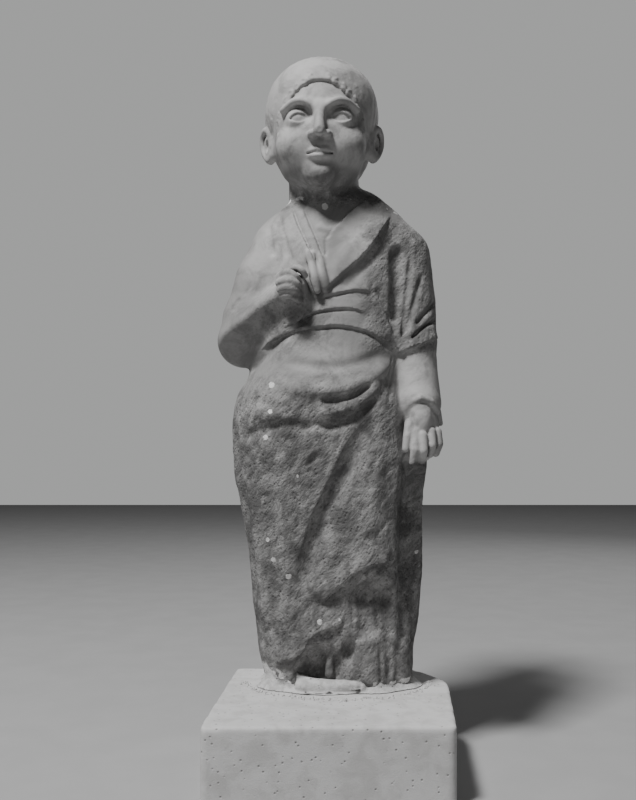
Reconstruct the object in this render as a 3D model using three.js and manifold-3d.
// A small stone statue of a draped child. Its broken foot is bedded in plaster on a cast block.
// Millimetres. x runs to the viewer's right, y to the back and z up, from the block's underside.
import * as THREE from 'three'
import { mergeVertices } from 'three/addons/utils/BufferGeometryUtils.js'
import Module from 'manifold-3d'

// Cast block. Its sides are not quite square to each other.
const BLOCK_HEIGHT = 65
const BLOCK_EDGE = 2.5
const BLOCK_CORNER = 7
const BLOCK_OUTLINE = [[-103, -101], [103, -101], [116, 42], [108, 66], [88, 97], [-90, 101]]

// Plaster bed round the foot: its lowest thickness, and how far it reaches past the stone.
const BED_THICKNESS = 4
const BED_MARGIN = 5
const BED_GAP = 1
const BED_TRIANGLES = 600
const FOOT_TOOL_TRIANGLES = 1300
const FOOT_TOOL_TOP = 34

// The statue's own zero lies a little above its flat underside. All its sizes count from there.
const STATUE_AT = [7.5, 45, 72]
const STATUE_FLOOR = BLOCK_HEIGHT + BED_THICKNESS - STATUE_AT[2]
const STATUE_TRIANGLES = 8300
const HEAD_SHARE = 12

// Levels of the draped body: height, left, right, front, back, squareness of the section.
const BODY_LEVELS = [
  [-20, -64, 73, -40, 42, 2.5],
  [0, -66, 74, -41, 44, 2.5],
  [24, -71, 75, -42, 46, 2.6],
  [50, -74, 79, -42, 47, 2.5],
  [80, -76, 82, -43, 47, 2.4],
  [116, -80, 84, -45, 48, 2.4],
  [150, -87, 84, -48, 50, 2.3],
  [188, -92, 87, -52, 52, 2.3],
  [204, -93, 88, -53, 53, 2.3],
  [218, -94, 80, -55, 53, 2.3],
  [235, -95, 72, -56, 53, 2.3],
  [258, -91, 68, -57, 51, 2.3],
  [281, -82, 66, -56, 48, 2.3],
  [305, -74, 66, -53, 45, 2.3],
  [338, -68, 68, -49, 44, 2.3],
  [372, -66, 70, -46, 46, 2.3],
  [398, -66, 70, -43, 48, 2.3],
  [416, -66, 74, -39, 46, 2.2],
  [430, -60, 67, -35, 42, 2.2],
  [441, -50, 56, -31, 36, 2.2],
  [451, -38, 42, -26, 28, 2.1],
  [460, -26, 28, -20, 20, 2],
  [468, -14, 14, -12, 12, 2],
]

// Limbs as chains of balls: x, y, z, radius. The blend says how softly each joins the body.
const BENT_ARM = [[-51, 3, 402, 28], [-66, 1, 374, 28], [-79, -3, 335, 26], [-84, -8, 315, 23]]
const BENT_FOREARM = [[-84, -8, 315, 23], [-60, -30, 334, 20], [-34, -46, 354, 17]]
const FIST = [[-31, -50, 355, 12.5], [-25, -53, 364, 11]]
const KNUCKLES = [
  [[-30, -58, 371, 5], [-22, -63, 368, 5.5], [-17, -60, 361, 5]],
  [[-30, -62, 362, 5], [-22, -66, 360, 5.5], [-16, -61, 353, 5]],
  [[-31, -61, 353, 5], [-24, -65, 351, 5.5], [-18, -60, 346, 4.5]],
]
const HUNG_SLEEVE = [[60, 3, 396, 31.5], [66, 0, 352, 30.5], [68, -3, 318, 28.5]]
const HUNG_FOREARM = [[71, -6, 312, 25], [73.5, -12, 285, 23.5], [76, -18, 266, 22.5], [77, -22, 257, 22]]
const HUNG_HAND = [[78, -25, 248, 16], [79, -30, 234, 18], [80, -31, 221, 17], [78, -30, 212, 13]]
const THUMB = [[67, -40, 238, 8], [66, -47, 223, 6.5], [67, -47, 207, 5.5]]
const FINGERS = [
  [[90, -38, 236, 7], [92, -39, 219, 6], [88, -37, 208, 5.5]],
  [[84, -45, 235, 7], [86, -47, 216, 6], [81, -41, 205, 5.5]],
  [[76, -47, 233, 7], [77, -50, 214, 6], [74, -43, 202, 5.5]],
]
const NECK = [[-8, 8, 428, 36], [-9, 4, 450, 34], [-10, 2, 474, 33]]
const COLLAR = [[20, 20, 449, 11], [31, 0, 446, 12], [38, -18, 436, 10]]
const LEG_FORMS = [
  [[-40, -18, 250, 38], [-42, -16, 170, 34], [-40, -12, 80, 32]],
  [[34, -12, 240, 36], [30, -16, 170, 30], [28, -16, 90, 26]],
]

// Creases on the surface. Each has its line on one side of the body, a height (below zero cuts),
// a width, and for a step how far the raised cloth fades away on the left hand of the line.
const CREASES = [
  // Cloak edge over the bent arm's shoulder, doubled, and the soft folds beside it.
  { side: 'front', line: [[-19, 383], [-27, 403], [-34, 419], [-40, 437]], height: 2.4, width: 1.8, reach: 12 },
  { side: 'front', line: [[-11, 385], [-17, 403], [-24, 421], [-31, 439]], height: 2, width: 1.8, reach: 7 },
  { side: 'front', line: [[-52, 434], [-49, 416], [-44, 398], [-37, 381]], height: -1.8, width: 3 },
  { side: 'front', line: [[-61, 424], [-60, 408], [-56, 390]], height: -1.4, width: 3 },
  // Rolled edge of the cloak from the other shoulder down to the fist.
  { side: 'front', line: [[46, 432], [31, 413], [15, 394], [0, 375], [-8, 366]], height: 6, width: 7 },
  { side: 'front', line: [[38, 424], [20, 402], [5, 384], [-4, 371]], height: -2.2, width: 2 },
  { side: 'front', line: [[56, 430], [45, 414], [31, 394], [11, 372], [-8, 355]], height: -8, width: 5 },
  // Tunic across the chest, in the opening of the cloak.
  { side: 'front', line: [[-18, 418], [-4, 414], [8, 419]], height: 1.6, width: 3 },
  // Folds over the belly.
  { side: 'front', line: [[-14, 351], [3, 355], [20, 358], [34, 356]], height: 2, width: 2, reach: 9 },
  { side: 'front', line: [[-40, 326], [-22, 336], [-4, 340], [14, 341], [30, 336]], height: 2.2, width: 2, reach: 9 },
  { side: 'front', line: [[-72, 302], [-51, 317], [-31, 322], [-4, 325], [14, 324], [32, 319], [47, 309]],
    height: 2.8, width: 2.2, reach: 11 },
  { side: 'front', line: [[-60, 277], [-40, 267], [-4, 266], [22, 273], [40, 283], [54, 296]], height: 5, width: 7 },
  { side: 'front', line: [[-31, 252], [-9, 247], [14, 250], [36, 261], [52, 275]], height: 5.5, width: 7 },
  { side: 'front', line: [[-24, 257], [0, 257], [16, 262], [34, 272]], height: -4, width: 4.5 },
  { side: 'front', line: [[-24, 236], [-4, 234], [12, 239], [27, 248], [42, 260]], height: -5, width: 5.5 },
  { side: 'front', line: [[-46, 294], [-20, 288], [6, 288], [28, 294], [44, 303]], height: -2.2, width: 5 },
  { side: 'front', line: [[-86, 224], [-65, 232], [-40, 236], [-14, 228]], height: -3, width: 8 },
  // Sleeve of the hanging arm: the deep cut beside the body, its folds and its lower edge.
  { side: 'front', line: [[57, 404], [57, 378], [56, 352], [53, 326]], height: -9, width: 5 },
  { side: 'front', line: [[36, 362], [44, 348], [52, 330], [55, 316]], height: -4, width: 3.5 },
  { side: 'front', line: [[71, 394], [67, 362], [63, 326], [61, 310]], height: -3.4, width: 3.2 },
  { side: 'front', line: [[82, 378], [72, 346], [64, 316]], height: -3.4, width: 3.2 },
  { side: 'front', line: [[96, 354], [85, 342], [73, 327]], height: -2.6, width: 3 },
  { side: 'front', line: [[96, 337], [81, 326], [67, 313]], height: -2.6, width: 3 },
  { side: 'front', line: [[55, 300], [62, 304], [80, 311], [97, 319]], height: 4.5, width: 2, reach: 22 },
  // The valley between the legs, and the front panel's free edge.
  { side: 'front', line: [[38, 250], [24, 224], [8, 191], [-12, 152], [-25, 114], [-31, 74]], height: -6.5, width: 8 },
  { side: 'front', line: [[-66, 214], [-58, 160], [-54, 100], [-52, 50]], height: -2.4, width: 8 },
  { side: 'front', line: [[-80, 190], [-73, 140], [-68, 90], [-66, 40]], height: 2.4, width: 6 },
  { side: 'front', line: [[40, 210], [34, 170], [30, 132]], height: 2.6, width: 7 },
  { side: 'front', line: [[4, 140], [-4, 118], [-10, 96]], height: 2.4, width: 6 },
  // Hem of the cloak in two steps, with the tunic below it.
  { side: 'front', line: [[-14, 72], [-4, 84], [6, 92], [17, 102], [34, 110], [56, 113]], height: 5, width: 2.4, reach: 26 },
  { side: 'front', line: [[-60, 14], [-48, 20], [-36, 26], [-28, 35], [-18, 46], [-4, 52], [12, 58]],
    height: 4.5, width: 2.4, reach: 24 },
  { side: 'front', line: [[24, 92], [26, 66], [24, 44]], height: -3, width: 5 },
  { side: 'front', line: [[46, 100], [47, 66], [50, 30], [50, 0]], height: -3.5, width: 4 },
  { side: 'front', line: [[31, 46], [31, 20], [31, -6]], height: 4, width: 9 },
  { side: 'front', line: [[58, 40], [58, 14], [58, -8]], height: -4, width: 3.4 },
  { side: 'front', line: [[66, 80], [66, 30], [67, -8]], height: 2.4, width: 4.5 },
  // Cloak hanging under the bent arm, and the side it shows to the left.
  { side: 'left', line: [[-6, 282], [-12, 250], [-14, 214], [-10, 170]], height: 3, width: 8 },
  { side: 'left', line: [[14, 330], [12, 280], [10, 220], [8, 150], [6, 90]], height: -3.4, width: 7 },
  { side: 'left', line: [[30, 360], [30, 290], [28, 210], [26, 130], [24, 60]], height: 3, width: 8 },
  { side: 'left', line: [[-26, 190], [-24, 130], [-20, 70]], height: -2.6, width: 6 },
  // The other side: the tunic runs down behind the hand.
  { side: 'right', line: [[0, 196], [2, 140], [2, 80], [0, 20]], height: -4, width: 6 },
  { side: 'right', line: [[14, 300], [16, 220], [16, 120], [14, 30]], height: 3, width: 7 },
  { side: 'right', line: [[30, 330], [30, 240], [30, 140], [28, 40]], height: -3.4, width: 6 },
  { side: 'right', line: [[26, 404], [20, 366], [10, 330]], height: -3, width: 5 },
  // Back: the cloak is thrown over the shoulder and falls in long folds to its hem.
  { side: 'back', line: [[54, 424], [40, 360], [26, 290], [16, 210], [10, 130], [8, 56]], height: 5, width: 9 },
  { side: 'back', line: [[38, 420], [22, 350], [8, 280], [-2, 200], [-8, 120], [-8, 50]], height: -4.5, width: 7 },
  { side: 'back', line: [[-40, 420], [-34, 380], [-10, 340], [16, 318]], height: 3.4, width: 8 },
  { side: 'back', line: [[-60, 390], [-50, 350], [-26, 316], [6, 294]], height: -3, width: 7 },
  { side: 'back', line: [[-72, 346], [-60, 300], [-36, 270], [-6, 252]], height: 3, width: 8 },
  { side: 'back', line: [[-44, 240], [-36, 180], [-32, 110], [-30, 50]], height: 3.4, width: 9 },
  { side: 'back', line: [[-60, 220], [-54, 150], [-50, 60]], height: -3, width: 7 },
  { side: 'back', line: [[34, 250], [36, 180], [34, 110], [32, 50]], height: -3.4, width: 7 },
  { side: 'back', line: [[52, 260], [54, 180], [54, 100], [52, 50]], height: 3, width: 8 },
  { side: 'back', line: [[78, 46], [40, 40], [0, 38], [-40, 42], [-74, 48]], height: 3.6, width: 2.4, reach: 20, lift: 1 },
]

// Hollows where stone is lost at the foot, and the recess behind the front panel's free edge.
const FOOT_HOLLOW = { at: [-15, -47, 12], size: [27, 22, 25], blend: 6 }
const SIDE_HOLLOW = { at: [13, -46, 30], size: [8, 13, 13], blend: 4 }
const FOOT_RIB = [[-4, -30, 40, 3.5], [-5, -31, 8, 4]]
const LOST_CORNER = { at: [-76, -42, -4], size: [20, 24, 19], blend: 6 }
const SIDE_RECESS = [[79, -37, 196, 19], [79, -36, 160, 22], [79, -35, 100, 22], [77, -36, 46, 18], [74, -44, 24, 12]]
const UNDER_TUNIC = [[26, -54, 82, 17], [44, -52, 76, 19], [38, -52, 56, 15]]

// Head: its place, its turn and its forms, all from its own middle. The face is a plain, calm one.
const HEAD_AT = [-12, -5, 515]
const HEAD_TURN = -2
const SKULL = { at: [0, 6, 14], size: [51, 59, 49] }
const FACE = { at: [0, -13, -13], size: [43, 44, 48] }
const JAW = { at: [0, -20, -36], size: [34, 33, 30] }
const CHEEKS = { at: [22, -35, -26], size: [18, 18, 17] }
const CHIN = { at: [0, -45, -55], size: [12, 10, 9] }
const SOCKETS = { at: [19, -60.5, -3], size: [14, 10, 8.5] }
const EYES = { at: [18.5, -41.5, -5], size: [12.5, 13, 9] }
const BROW = [[6, -56, 2.5, 2.8], [13, -55, 6.5, 3], [23, -51.5, 8, 3.2], [33, -44.5, 4, 3]]
const NOSE = [[0, -54, 4, 5], [0, -59.5, -8, 5], [0, -63.5, -18.5, 6.6]]
const NOSTRIL = { at: [6.8, -56.5, -20.5], size: [4.8, 6.5, 4.4] }
const NOSE_CHIP = { at: [0, -78.5, -21], size: [11, 9.5, 11] }
const UPPER_LIP = [[0, -54.4, -34.4, 3], [5.5, -54, -34, 2.8], [11.5, -50, -36, 1.8]]
const LOWER_LIP = [[0, -54.2, -39.8, 3.2], [5, -53, -39.4, 2.9], [10.5, -49.5, -38, 1.8]]
const MOUTH_LINE = [[0, -58, -37, 0.9], [6, -57, -36.7, 0.8], [11.5, -53, -37.2, 0.5]]
const CHIN_FOLD = { at: [0, -59, -47], size: [13, 4.5, 3.2] }
const EAR_LOOP = [[45, -10, -13, 3], [49, -7, -3, 3], [53, -1, 1, 3.2], [56, 6, -3, 3.2], [56, 8, -13, 3.2],
  [53, 5, -22, 3], [48.5, -2, -28, 3.6], [45.5, -7, -26, 3]]
const EAR_FLOOR = { at: [48, 1, -15], size: [5.5, 11, 15] }
const HAIR = { at: [0, 7, 14], size: [54, 62, 52] }
const CROWN = { at: [0, 2, 27], size: [49, 52, 38] }
const NAPE = { at: [0, 24, -16], size: [43, 42, 38] }
const HAIR_OPENING = { at: [0, -66, -16], size: [41, 46, 47] }
const HAIR_BLEND = 2

// Small locks in rows from the temple to the top of the forehead, close behind one another.
const LOCK_ROWS = [
  { from: [42, -16], by: [45, 14], to: [12, 30], count: 9, radius: 4.2 },
  { from: [47, -8], by: [49, 24], to: [13, 38], count: 9, radius: 4.2 },
  { from: [50.5, 4], by: [50, 34], to: [24, 44], count: 6, radius: 4 },
]
const LOCK_SINK = 0.55
const LOCK_BLEND = 1.5

// Fineness of the carved surface: steps across, in depth and in height, in the body and the head.
const GRID = { columns: 76, rows: 66, depthStep: 2.3, bodyStep: 3, headStep: 1.75, neckFrom: 436, neckTo: 462 }
const CLOSE_TO_STONE = 14
const LINE_STEP = 6
const BLOCK_NODES = 5
const BLOCK_SAFETY = 1.7

const add = (a, b, s = 1) => [a[0] + b[0] * s, a[1] + b[1] * s, a[2] + b[2] * s]
const dot = (a, b) => a[0] * b[0] + a[1] * b[1] + a[2] * b[2]
const cross = (a, b) => [a[1] * b[2] - a[2] * b[1], a[2] * b[0] - a[0] * b[2], a[0] * b[1] - a[1] * b[0]]
const unit = (a) => {
  const length = Math.hypot(...a) || 1
  return a.map((v) => v / length)
}
const clamp01 = (t) => Math.min(1, Math.max(0, t))
const smoothstep = (t) => t * t * (3 - 2 * t)

// Joins or cuts two forms with a soft seam as wide as the blend.
function join(a, b, blend) {
  const h = Math.max(blend - Math.abs(a - b), 0) / blend
  return Math.min(a, b) - h * h * blend / 4
}

function cut(a, b, blend) {
  return -join(-a, b, blend)
}

// One column of a table of levels as a monotone curve, sampled at every millimetre of height.
function levelCurve(levels, column) {
  const z = levels.map((row) => row[0])
  const v = levels.map((row) => row[column])
  const slope = z.slice(1).map((top, i) => (v[i + 1] - v[i]) / (top - z[i]))
  const tangent = z.map((_, i) => {
    if (i === 0 || i === z.length - 1) return slope[Math.max(0, i - 1)]
    return slope[i - 1] * slope[i] <= 0 ? 0 : 2 / (1 / slope[i - 1] + 1 / slope[i])
  })
  const samples = []
  for (let height = z[0], i = 0; height <= z.at(-1); height += 1) {
    while (i < z.length - 2 && height > z[i + 1]) i += 1
    const h = z[i + 1] - z[i]
    const t = (height - z[i]) / h
    const start = (1 + 2 * t) * (1 - t) ** 2 * v[i] + t * (1 - t) ** 2 * h * tangent[i]
    const end = t * t * (3 - 2 * t) * v[i + 1] - t * t * (1 - t) * h * tangent[i + 1]
    samples.push(start + end)
  }
  return (height) => {
    const at = Math.min(samples.length - 1.001, Math.max(0, height - z[0]))
    const low = Math.floor(at)
    return samples[low] + (samples[low + 1] - samples[low]) * (at - low)
  }
}

const bodyLeft = levelCurve(BODY_LEVELS, 1)
const bodyRight = levelCurve(BODY_LEVELS, 2)
const bodyFront = levelCurve(BODY_LEVELS, 3)
const bodyBack = levelCurve(BODY_LEVELS, 4)
const bodySquareness = levelCurve(BODY_LEVELS, 5)
const BODY_TOP = BODY_LEVELS.at(-1)[0]

// About how far a point lies outside the draped body, measured level by level.
function body(x, y, z) {
  const half = (bodyRight(z) - bodyLeft(z)) / 2
  const deep = y < 0 ? -bodyFront(z) : bodyBack(z)
  const n = bodySquareness(z)
  const across = Math.abs(x - (bodyRight(z) + bodyLeft(z)) / 2) / half + 1e-6
  const along = Math.abs(y) / deep + 1e-6
  const ring = (across ** n + along ** n) ** (1 / n)
  const steepness = Math.hypot(across ** (n - 1) / half, along ** (n - 1) / deep) * ring ** (1 - n)
  return (ring - 1) / steepness + Math.max(0, z - BODY_TOP)
}

function ellipsoid(x, y, z, { at, size }) {
  const dx = (x - at[0]) / size[0]
  const dy = (y - at[1]) / size[1]
  const dz = (z - at[2]) / size[2]
  const ring = Math.sqrt(dx * dx + dy * dy + dz * dz)
  const steepness = Math.hypot(dx / size[0], dy / size[1], dz / size[2]) / (ring + 1e-9)
  return (ring - 1) / (steepness + 1e-9)
}

// Distance to a chain of balls with straight, tapering lengths between them.
function chain(x, y, z, balls) {
  let nearest = Infinity
  for (let i = 0; i + 1 < balls.length; i += 1) {
    const [a, b] = [balls[i], balls[i + 1]]
    const [ux, uy, uz] = [b[0] - a[0], b[1] - a[1], b[2] - a[2]]
    const [px, py, pz] = [x - a[0], y - a[1], z - a[2]]
    const t = clamp01((px * ux + py * uy + pz * uz) / (ux * ux + uy * uy + uz * uz))
    const gap = Math.hypot(px - ux * t, py - uy * t, pz - uz * t) - a[3] - (b[3] - a[3]) * t
    nearest = Math.min(nearest, gap)
  }
  return nearest
}

// Locks along a soft curve seen from the front, each sunk a little into the hair behind it.
function lockPlaces({ from, by, to, count, radius }) {
  return Array.from({ length: count }, (_, i) => {
    const t = i / (count - 1)
    const [x, z] = from.map((v, k) => v * (1 - t) ** 2 + 2 * by[k] * t * (1 - t) + to[k] * t * t)
    let y = -90
    while (y < 40 && plainHead(x, x, y, z) > 0.1) y += 0.25
    return { at: [x * 0.98, y + radius * LOCK_SINK, z], radius }
  })
}

const TURN_COS = Math.cos(THREE.MathUtils.degToRad(HEAD_TURN))
const TURN_SIN = Math.sin(THREE.MathUtils.degToRad(HEAD_TURN))

// The head without its small locks, from its own middle. Paired forms use the mirrored place.
function plainHead(hx, ax, hy, hz) {
  let d = join(ellipsoid(hx, hy, hz, SKULL), ellipsoid(hx, hy, hz, FACE), 10)
  d = join(d, ellipsoid(hx, hy, hz, JAW), 10)
  d = join(d, ellipsoid(ax, hy, hz, CHEEKS), 9)
  d = join(d, ellipsoid(hx, hy, hz, CHIN), 8)
  d = cut(d, ellipsoid(ax, hy, hz, SOCKETS), 7)
  d = join(d, chain(ax, hy, hz, BROW), 5)
  d = join(d, ellipsoid(ax, hy, hz, EYES), 1.5)
  d = join(d, chain(ax, hy, hz, NOSE), 5)
  d = join(d, ellipsoid(ax, hy, hz, NOSTRIL), 2)
  d = cut(d, ellipsoid(hx, hy, hz, NOSE_CHIP), 1)
  d = join(d, chain(ax, hy, hz, UPPER_LIP), 2.5)
  d = join(d, chain(ax, hy, hz, LOWER_LIP), 2.5)
  d = cut(d, chain(ax, hy, hz, MOUTH_LINE), 1)
  d = cut(d, ellipsoid(ax, hy, hz, CHIN_FOLD), 4)
  let hair = join(ellipsoid(hx, hy, hz, HAIR), ellipsoid(hx, hy, hz, NAPE), 16)
  hair = join(hair, ellipsoid(hx, hy, hz, CROWN), 6)
  hair = cut(hair, ellipsoid(hx, hy, hz, HAIR_OPENING), 5)
  d = join(d, hair, HAIR_BLEND)
  d = join(d, chain(ax, hy, hz, EAR_LOOP), 2)
  return join(d, ellipsoid(ax, hy, hz, EAR_FLOOR), 3)
}

const LOCKS = LOCK_ROWS.flatMap(lockPlaces)

function head(x, y, z) {
  const px = x - HEAD_AT[0]
  const py = y - HEAD_AT[1]
  const hx = px * TURN_COS + py * TURN_SIN
  const hy = py * TURN_COS - px * TURN_SIN
  const hz = z - HEAD_AT[2]
  const ax = Math.abs(hx)
  let d = plainHead(hx, ax, hy, hz)
  for (const { at, radius } of LOCKS) {
    const gap = Math.hypot(ax - at[0], hy - at[1], hz - at[2]) - radius
    d = join(d, gap, LOCK_BLEND)
  }
  return d
}

// The statue without its creases.
function plainStatue(x, y, z) {
  let d = body(x, y, z)
  if (z < 300) {
    for (const form of LEG_FORMS) d = join(d, chain(x, y, z, form), 14)
    d = cut(d, chain(x, y, z, SIDE_RECESS), 5)
    d = cut(d, chain(x, y, z, UNDER_TUNIC), 6)
    d = cut(d, ellipsoid(x, y, z, FOOT_HOLLOW), FOOT_HOLLOW.blend)
    d = cut(d, ellipsoid(x, y, z, SIDE_HOLLOW), SIDE_HOLLOW.blend)
    d = cut(d, ellipsoid(x, y, z, LOST_CORNER), LOST_CORNER.blend)
    d = join(d, chain(x, y, z, FOOT_RIB), 4)
  }
  if (z > 160) {
    d = join(d, chain(x, y, z, BENT_ARM), 16)
    d = join(d, chain(x, y, z, HUNG_SLEEVE), 8)
    d = join(d, chain(x, y, z, HUNG_FOREARM), 5)
    d = join(d, chain(x, y, z, HUNG_HAND), 4)
    d = join(d, chain(x, y, z, THUMB), 2)
    for (const finger of FINGERS) d = join(d, chain(x, y, z, finger), 1.5)
    d = join(d, chain(x, y, z, BENT_FOREARM), 8)
    d = join(d, chain(x, y, z, FIST), 4)
    for (const knuckle of KNUCKLES) d = join(d, chain(x, y, z, knuckle), 1.5)
  }
  if (z > 400) {
    d = join(d, chain(x, y, z, COLLAR), 9)
    d = join(d, chain(x, y, z, NECK), 10)
    d = join(d, head(x, y, z), 5)
  }
  return d
}

// Where a look along one side first meets the stone: the way in, and the point for a place on it.
const SIDES = {
  front: { into: [0, 1, 0], start: (x, z) => [x, -150, z] },
  back: { into: [0, -1, 0], start: (x, z) => [x, 150, z] },
  left: { into: [1, 0, 0], start: (y, z) => [-170, y, z] },
  right: { into: [-1, 0, 0], start: (y, z) => [170, y, z] },
}

function meetStone(side, place) {
  const { into, start } = SIDES[side]
  let point = start(...place)
  for (let i = 0; i < 200; i += 1) {
    const d = plainStatue(...point)
    if (d < 0.02) break
    point = add(point, into, Math.min(4, d * 0.7))
  }
  return point
}

function stoneNormal(p) {
  const e = 0.6
  return unit([0, 1, 2].map((k) => {
    const up = [...p]
    const down = [...p]
    up[k] += e
    down[k] -= e
    return plainStatue(...up) - plainStatue(...down)
  }))
}

// Lays a crease's line on the stone in short lengths, each with the direction of its left hand.
function layCrease({ side, line, height, width, reach = 0 }) {
  const curve = new THREE.SplineCurve(line.map(([u, v]) => new THREE.Vector2(u, v)))
  const steps = Math.max(3, Math.round(curve.getLength() / LINE_STEP))
  const points = curve.getSpacedPoints(steps).map((p) => meetStone(side, [p.x, p.y]))
  const leftHand = points.map((p, i) => {
    const along = unit(add(points[Math.min(steps, i + 1)], points[Math.max(0, i - 1)], -1))
    return unit(cross(stoneNormal(p), along))
  })
  const room = Math.max(reach * 2.5, width * 3)
  const low = [0, 1, 2].map((k) => Math.min(...points.map((p) => p[k])) - room)
  const high = [0, 1, 2].map((k) => Math.max(...points.map((p) => p[k])) + room)
  return { points, leftHand, height, width, reach, low, high }
}

const LAID = CREASES.map(layCrease)

// How much a crease lifts the surface at a point.
function creaseLift(crease, x, y, z) {
  const { points, leftHand, height, width, reach, low, high } = crease
  if (x < low[0] || y < low[1] || z < low[2] || x > high[0] || y > high[1] || z > high[2]) return 0
  let best = Infinity
  let place = 0
  let hand = 0
  for (let i = 0; i + 1 < points.length; i += 1) {
    const a = points[i]
    const u = add(points[i + 1], a, -1)
    const p = [x - a[0], y - a[1], z - a[2]]
    const t = clamp01(dot(p, u) / dot(u, u))
    const off = add(p, u, -t)
    const d = dot(off, off)
    if (d < best) {
      best = d
      place = (i + t) / (points.length - 1)
      hand = dot(off, leftHand[i])
    }
  }
  const away = Math.sqrt(best)
  const ends = smoothstep(clamp01(place / 0.16)) * smoothstep(clamp01((1 - place) / 0.16))
  if (!reach) return height * ends * Math.exp(-((away / width) ** 2))
  const signed = hand < 0 ? -away : away
  const edge = smoothstep(clamp01((signed + width) / (2 * width)))
  return height * ends * edge * Math.exp(-Math.max(0, signed) / reach)
}

function statue(x, y, z) {
  const plain = plainStatue(x, y, z)
  if (Math.abs(plain) > CLOSE_TO_STONE || z > 450) return plain
  let lift = 0
  for (const crease of LAID) lift += creaseLift(crease, x, y, z)
  return plain - lift
}

// Low mound of plaster that follows the foot's outline and climbs where the stone is lost.
function plasterMound(x, y, z) {
  const foot = body(x, y, Math.max(z, -18)) - BED_MARGIN
  const corner = Math.exp(-(((x + 60) / 26) ** 2 + ((y + 30) / 34) ** 2))
  const wave = Math.sin(x * 0.11 + y * 0.07) + Math.sin(y * 0.13 - x * 0.05 + 1)
  const top = z - (-1 + 1.3 * wave + 17 * corner - 0.34 * Math.max(0, foot + BED_MARGIN))
  return -join(-(foot - 1.2 * wave), -top, 5)
}

// The lattice: it narrows smoothly towards the head, where it is finest.
function statueLattice() {
  const { columns, rows, depthStep, bodyStep, headStep, neckFrom, neckTo } = GRID
  const layers = []
  for (let z = STATUE_FLOOR - 6; z < HEAD_AT[2] + 78;) {
    const t = smoothstep(clamp01((z - neckFrom) / (neckTo - neckFrom)))
    const step = bodyStep + (headStep - bodyStep) * t
    layers.push({ z, step, middle: -2 + (HEAD_AT[0] + 2) * t, depth: -8 * t })
    z += step
  }
  const place = (i, j, k) => [
    layers[k].middle + (i - columns / 2) * layers[k].step,
    layers[k].depth + (j - rows / 2) * depthStep,
    layers[k].z,
  ]
  return { counts: [columns + 1, rows + 1, layers.length], place }
}

function boxLattice(low, high, step) {
  const counts = low.map((v, k) => Math.ceil((high[k] - v) / step) + 1)
  return { counts, place: (i, j, k) => [low[0] + i * step, low[1] + j * step, low[2] + k * step] }
}

// Six four-cornered cells fill a lattice cube. Corner bits: 1 for x, 2 for y, 4 for z.
const CUBE_CELLS = [[0, 1, 3, 7], [0, 2, 6, 7], [0, 4, 5, 7], [0, 3, 2, 7], [0, 6, 4, 7], [0, 5, 1, 7]]
const FIRST_CORNER = [[0, 1, 2, 3], [1, 0, 3, 2], [2, 3, 0, 1], [3, 2, 1, 0]]
const CORNER_PAIRS = {
  3: [0, 1, 2, 3], 5: [0, 2, 3, 1], 9: [0, 3, 1, 2], 6: [1, 2, 0, 3], 10: [1, 3, 2, 0], 12: [2, 3, 0, 1],
}

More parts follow.
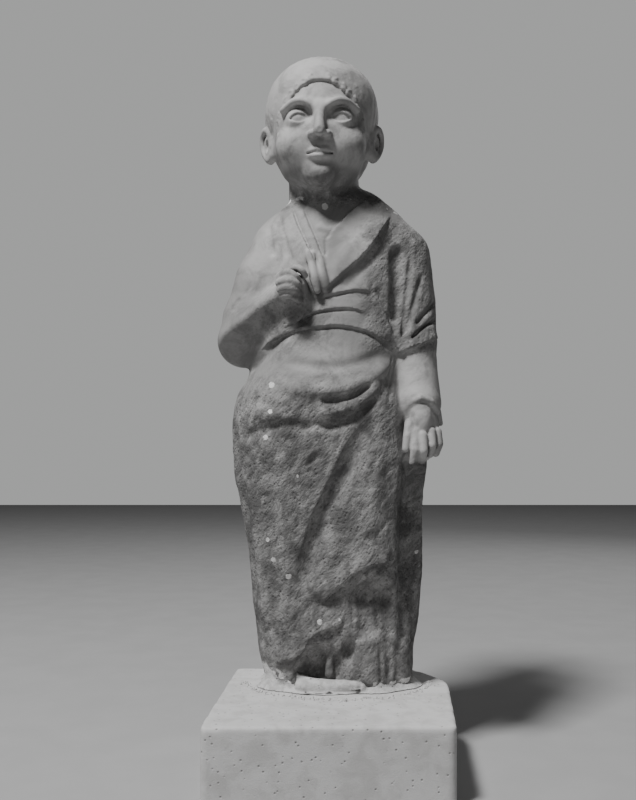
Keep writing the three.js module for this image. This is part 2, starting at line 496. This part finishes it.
// The surface where a field is zero, as closed triangles that face out.
function surfaceOf(field, { counts: [nx, ny, nz], place }) {
  const nodes = nx * ny * nz
  const value = new Float32Array(nodes)
  const at = (i, j, k) => i + nx * (j + ny * k)
  const last = [nx - 1, ny - 1, nz - 1]
  // Whole blocks far from the surface take the value of their middle.
  const fillBlock = (low, high) => {
    const corners = [place(...low), place(...high.map((v) => v - 1))]
    const radius = Math.hypot(...add(corners[1], corners[0], -1)) / 2
    const middle = field(...corners[0].map((v, c) => (v + corners[1][c]) / 2))
    const far = Math.abs(middle) > radius * BLOCK_SAFETY + CLOSE_TO_STONE / 2
    for (let k = low[2]; k < high[2]; k += 1) {
      for (let j = low[1]; j < high[1]; j += 1) {
        for (let i = low[0]; i < high[0]; i += 1) {
          const v = far ? middle : field(...place(i, j, k))
          const onRim = i * j * k === 0 || i === last[0] || j === last[1] || k === last[2]
          value[at(i, j, k)] = onRim ? Math.max(v, 0.5) : Math.abs(v) < 1e-3 ? 1e-3 : v
        }
      }
    }
  }
  for (let k = 0; k < nz; k += BLOCK_NODES) {
    for (let j = 0; j < ny; j += BLOCK_NODES) {
      for (let i = 0; i < nx; i += BLOCK_NODES) {
        const low = [i, j, k]
        fillBlock(low, low.map((v, c) => Math.min(v + BLOCK_NODES, last[c] + 1)))
      }
    }
  }
  const edgeVertex = new Map()
  const positions = []
  const triangles = []
  const point = (n) => place(n % nx, Math.floor(n / nx) % ny, Math.floor(n / nx / ny))
  const vertexOn = (a, b) => {
    const [low, high] = a < b ? [a, b] : [b, a]
    const key = (high - low) * nodes + low
    if (edgeVertex.has(key)) return edgeVertex.get(key)
    const t = Math.min(0.98, Math.max(0.02, value[low] / (value[low] - value[high])))
    const [p, q] = [point(low), point(high)]
    positions.push(...p.map((v, c) => v + (q[c] - v) * t))
    edgeVertex.set(key, positions.length / 3 - 1)
    return positions.length / 3 - 1
  }
  for (let k = 0; k + 1 < nz; k += 1) {
    for (let j = 0; j + 1 < ny; j += 1) {
      for (let i = 0; i + 1 < nx; i += 1) {
        const corner = [0, 1, 2, 3, 4, 5, 6, 7].map((c) => at(i + (c & 1), j + ((c >> 1) & 1), k + (c >> 2)))
        const inside = corner.filter((n) => value[n] < 0).length
        if (inside === 0 || inside === 8) continue
        for (const cell of CUBE_CELLS) {
          const four = cell.map((c) => corner[c])
          const mask = four.reduce((m, n, c) => m | (value[n] < 0 ? 1 << c : 0), 0)
          if (mask === 0 || mask === 15) continue
          const single = [1, 2, 4, 8].indexOf(mask)
          const missing = [1, 2, 4, 8].indexOf(15 - mask)
          if (single >= 0 || missing >= 0) {
            const [p, q, r, s] = FIRST_CORNER[Math.max(single, missing)].map((c) => four[c])
            const face = [vertexOn(p, q), vertexOn(p, r), vertexOn(p, s)]
            triangles.push(...(single >= 0 ? face : face.reverse()))
          } else {
            const [p, q, r, s] = CORNER_PAIRS[mask].map((c) => four[c])
            const face = [vertexOn(p, r), vertexOn(p, s), vertexOn(q, s), vertexOn(q, r)]
            triangles.push(face[0], face[1], face[2], face[0], face[2], face[3])
          }
        }
      }
    }
  }
  return { positions, triangles }
}

// A heap of edges, cheapest first.
class EdgeHeap {
  constructor() {
    this.items = []
  }

  push(item) {
    const { items } = this
    let i = items.push(item) - 1
    while (i > 0) {
      const parent = (i - 1) >> 1
      if (items[parent].cost <= items[i].cost) break
      ;[items[parent], items[i]] = [items[i], items[parent]]
      i = parent
    }
  }

  pop() {
    const { items } = this
    const top = items[0]
    const last = items.pop()
    if (items.length) {
      items[0] = last
      for (let i = 0; ;) {
        let child = 2 * i + 1
        if (child >= items.length) break
        if (child + 1 < items.length && items[child + 1].cost < items[child].cost) child += 1
        if (items[i].cost <= items[child].cost) break
        ;[items[child], items[i]] = [items[i], items[child]]
        i = child
      }
    }
    return top
  }
}

// Thins a closed surface to a number of triangles. Each step draws one edge into one point where
// the faces around it move least, and only where the surface stays closed and no face turns over.
function thin({ positions, triangles }, target, weightOf = () => 1) {
  const p = Float64Array.from(positions)
  const tri = Int32Array.from(triangles)
  const count = p.length / 3
  const faces = Array.from({ length: count }, () => [])
  const quadric = new Float64Array(count * 10)
  const stamp = new Int32Array(count)
  const vertex = (v) => [p[3 * v], p[3 * v + 1], p[3 * v + 2]]
  for (let t = 0; t < tri.length; t += 3) {
    const [a, b, c] = [tri[t], tri[t + 1], tri[t + 2]]
    const n = cross(add(vertex(b), vertex(a), -1), add(vertex(c), vertex(a), -1))
    const area = Math.hypot(...n) || 1e-12
    const [x, y, z] = n.map((v) => v / area)
    const w = -dot([x, y, z], vertex(a))
    const weight = area * weightOf(p[3 * a], p[3 * a + 1], p[3 * a + 2])
    const plane = [x * x, x * y, x * z, x * w, y * y, y * z, y * w, z * z, z * w, w * w]
    for (const v of [a, b, c]) {
      faces[v].push(t)
      for (let i = 0; i < 10; i += 1) quadric[10 * v + i] += plane[i] * weight
    }
  }
  const neighbours = (v) => {
    const around = new Set()
    for (const t of faces[v]) for (let c = 0; c < 3; c += 1) if (tri[t + c] !== v) around.add(tri[t + c])
    return around
  }
  const q = new Float64Array(10)
  const costAt = (x, y, z) => q[0] * x * x + 2 * q[1] * x * y + 2 * q[2] * x * z + 2 * q[3] * x
    + q[4] * y * y + 2 * q[5] * y * z + 2 * q[6] * y + q[7] * z * z + 2 * q[8] * z + q[9]
  const candidate = (a, b) => {
    for (let i = 0; i < 10; i += 1) q[i] = quadric[10 * a + i] + quadric[10 * b + i]
    const [ax, ay, az] = [p[3 * a], p[3 * a + 1], p[3 * a + 2]]
    const [bx, by, bz] = [p[3 * b], p[3 * b + 1], p[3 * b + 2]]
    let [x, y, z] = [(ax + bx) / 2, (ay + by) / 2, (az + bz) / 2]
    const span = (ax - bx) ** 2 + (ay - by) ** 2 + (az - bz) ** 2
    const m0 = q[4] * q[7] - q[5] * q[5]
    const m1 = q[2] * q[5] - q[1] * q[7]
    const m2 = q[1] * q[5] - q[2] * q[4]
    const det = q[0] * m0 + q[1] * m1 + q[2] * m2
    const size = (q[0] + q[4] + q[7]) / 3
    let cost = costAt(x, y, z)
    // The point where the faces around both ends meet best, if it lies near the edge.
    if (Math.abs(det) > 1e-5 * size ** 3) {
      const m3 = q[0] * q[7] - q[2] * q[2]
      const m4 = q[1] * q[2] - q[0] * q[5]
      const m5 = q[0] * q[4] - q[1] * q[1]
      const sx = -(m0 * q[3] + m1 * q[6] + m2 * q[8]) / det
      const sy = -(m1 * q[3] + m3 * q[6] + m4 * q[8]) / det
      const sz = -(m2 * q[3] + m4 * q[6] + m5 * q[8]) / det
      if ((sx - x) ** 2 + (sy - y) ** 2 + (sz - z) ** 2 < 4 * span) {
        ;[x, y, z, cost] = [sx, sy, sz, costAt(sx, sy, sz)]
      }
    }
    cost = Math.max(0, cost) + 1e-4 * span
    return { a, b, at: [x, y, z], cost, stampA: stamp[a], stampB: stamp[b] }
  }
  const turnsOver = (v, other, at) => {
    for (const t of faces[v]) {
      const corners = [tri[t], tri[t + 1], tri[t + 2]]
      if (corners.includes(other)) continue
      const old = corners.map(vertex)
      const now = corners.map((c, i) => (c === v ? at : old[i]))
      const before = cross(add(old[1], old[0], -1), add(old[2], old[0], -1))
      const after = cross(add(now[1], now[0], -1), add(now[2], now[0], -1))
      if (dot(before, after) < 0.25 * Math.hypot(...before) * Math.hypot(...after)) return true
      const longest = Math.max(...now.map((c, i) => Math.hypot(...add(now[(i + 1) % 3], c, -1))))
      if (Math.hypot(...after) < 0.02 * longest * longest) return true
    }
    return false
  }
  const heap = new EdgeHeap()
  for (let v = 0; v < count; v += 1) for (const o of neighbours(v)) if (v < o) heap.push(candidate(v, o))
  let left = tri.length / 3
  while (left > target && heap.items.length) {
    const { a, b, at, stampA, stampB } = heap.pop()
    if (stamp[a] !== stampA || stamp[b] !== stampB) continue
    const around = neighbours(b)
    const shared = [...neighbours(a)].filter((v) => around.has(v))
    if (shared.length !== 2 || turnsOver(a, b, at) || turnsOver(b, a, at)) continue
    const lost = faces[a].filter((t) => [tri[t], tri[t + 1], tri[t + 2]].includes(b))
    for (const t of lost) for (const v of shared) faces[v] = faces[v].filter((f) => f !== t)
    faces[a] = faces[a].filter((t) => !lost.includes(t))
    for (const t of faces[b]) {
      if (lost.includes(t)) continue
      for (let c = 0; c < 3; c += 1) if (tri[t + c] === b) tri[t + c] = a
      faces[a].push(t)
    }
    for (const t of lost) tri[t] = -1
    faces[b] = []
    p.set(at, 3 * a)
    for (let i = 0; i < 10; i += 1) quadric[10 * a + i] += quadric[10 * b + i]
    stamp[a] += 1
    stamp[b] += 1
    left -= 2
    for (const v of neighbours(a)) heap.push(candidate(a, v))
  }
  const used = new Map()
  const kept = { positions: [], triangles: [] }
  for (let t = 0; t < tri.length; t += 3) {
    if (tri[t] < 0) continue
    for (let c = 0; c < 3; c += 1) {
      const v = tri[t + c]
      if (!used.has(v)) {
        used.set(v, kept.positions.length / 3)
        kept.positions.push(...vertex(v))
      }
      kept.triangles.push(used.get(v))
    }
  }
  return kept
}

const wasm = await Module()
wasm.setup()

// Between three.js geometry and closed solids.
function solidFrom(geometry) {
  const bare = (geometry.index ? geometry.toNonIndexed() : geometry).clone()
  const merged = mergeVertices(new THREE.BufferGeometry().setAttribute('position', bare.getAttribute('position')), 1e-3)
  return new wasm.Manifold(new wasm.Mesh({
    numProp: 3,
    vertProperties: merged.attributes.position.array,
    triVerts: new Uint32Array(merged.index.array),
  }))
}

function geometryFrom(solid) {
  const { vertProperties, triVerts } = solid.getMesh()
  const geometry = new THREE.BufferGeometry()
  geometry.setAttribute('position', new THREE.BufferAttribute(Float32Array.from(vertProperties), 3))
  geometry.setIndex([...triVerts])
  return geometry
}

function geometryOf({ positions, triangles }, offset = [0, 0, 0]) {
  const geometry = new THREE.BufferGeometry()
  geometry.setAttribute('position', new THREE.Float32BufferAttribute(positions, 3))
  geometry.setIndex(triangles)
  return geometry.translate(...offset)
}

// A big box whose top face lies at a height, to cut everything below it away.
function floorTool(top) {
  return solidFrom(new THREE.BoxGeometry(600, 600, 200).translate(0, 0, top - 100))
}

function named(name, geometry, color, roughness) {
  const flat = geometry.index ? geometry.toNonIndexed() : geometry
  flat.computeVertexNormals()
  const mesh = new THREE.Mesh(flat, new THREE.MeshStandardMaterial({ color, roughness, metalness: 0 }))
  mesh.name = name
  return mesh
}

function statueSolid() {
  const rough = surfaceOf(statue, statueLattice())
  const inHead = (x, y, z) => (z > GRID.neckTo ? HEAD_SHARE : 1)
  const thinned = thin(rough, STATUE_TRIANGLES, inHead)
  const solid = solidFrom(geometryOf(thinned, STATUE_AT))
  return solid.subtract(floorTool(BLOCK_HEIGHT + BED_THICKNESS))
}

// The foot with a little air round it, to cut the bed free of the stone.
function footTool() {
  const grown = (x, y, z) => statue(x, y, z) - BED_GAP
  const lattice = boxLattice([-100, -75, STATUE_FLOOR - 6], [105, 75, FOOT_TOOL_TOP + 4], 3)
  const tool = surfaceOf((x, y, z) => Math.max(grown(x, y, z), z - FOOT_TOOL_TOP), lattice)
  const solid = solidFrom(geometryOf(thin(tool, FOOT_TOOL_TRIANGLES), STATUE_AT))
  return solid.subtract(floorTool(BLOCK_HEIGHT + BED_THICKNESS))
}

function bedSolid() {
  const lattice = boxLattice([-110, -80, STATUE_FLOOR - BED_THICKNESS - 6], [115, 80, 40], 3)
  const mound = thin(surfaceOf(plasterMound, lattice), BED_TRIANGLES)
  const solid = solidFrom(geometryOf(mound, STATUE_AT))
  const cutOut = solid.subtract(floorTool(BLOCK_HEIGHT)).subtract(footTool())
  return cutOut.decompose().sort((a, b) => b.volume() - a.volume())[0]
}

function blockGeometry() {
  const inner = BLOCK_OUTLINE.map(([x, y]) => new THREE.Vector2(x, y))
  const shape = new THREE.Shape()
  inner.forEach((corner, i) => {
    const before = inner.at(i - 1)
    const after = inner[(i + 1) % inner.length]
    const from = corner.clone().sub(before).normalize()
    const to = after.clone().sub(corner).normalize()
    const inward = to.clone().sub(from).normalize().multiplyScalar(BLOCK_EDGE * 1.4)
    const at = corner.clone().add(inward)
    const start = at.clone().addScaledVector(from, -BLOCK_CORNER)
    const end = at.clone().addScaledVector(to, BLOCK_CORNER)
    if (i === 0) shape.moveTo(start.x, start.y)
    else shape.lineTo(start.x, start.y)
    shape.quadraticCurveTo(at.x, at.y, end.x, end.y)
  })
  shape.closePath()
  const settings = {
    depth: BLOCK_HEIGHT - 2 * BLOCK_EDGE,
    bevelEnabled: true,
    bevelSize: BLOCK_EDGE,
    bevelThickness: BLOCK_EDGE,
    bevelSegments: 3,
    curveSegments: 4,
  }
  return new THREE.ExtrudeGeometry(shape, settings).translate(0, 0, BLOCK_EDGE)
}

const group = new THREE.Group()
group.add(named('figure', geometryFrom(statueSolid()), 0xb4b2ad, 0.85))
group.add(named('plaster_bed', geometryFrom(bedSolid()), 0xd6d4ce, 0.95))
group.add(named('plinth_block', blockGeometry(), 0xdddbd6, 0.9))
export default group
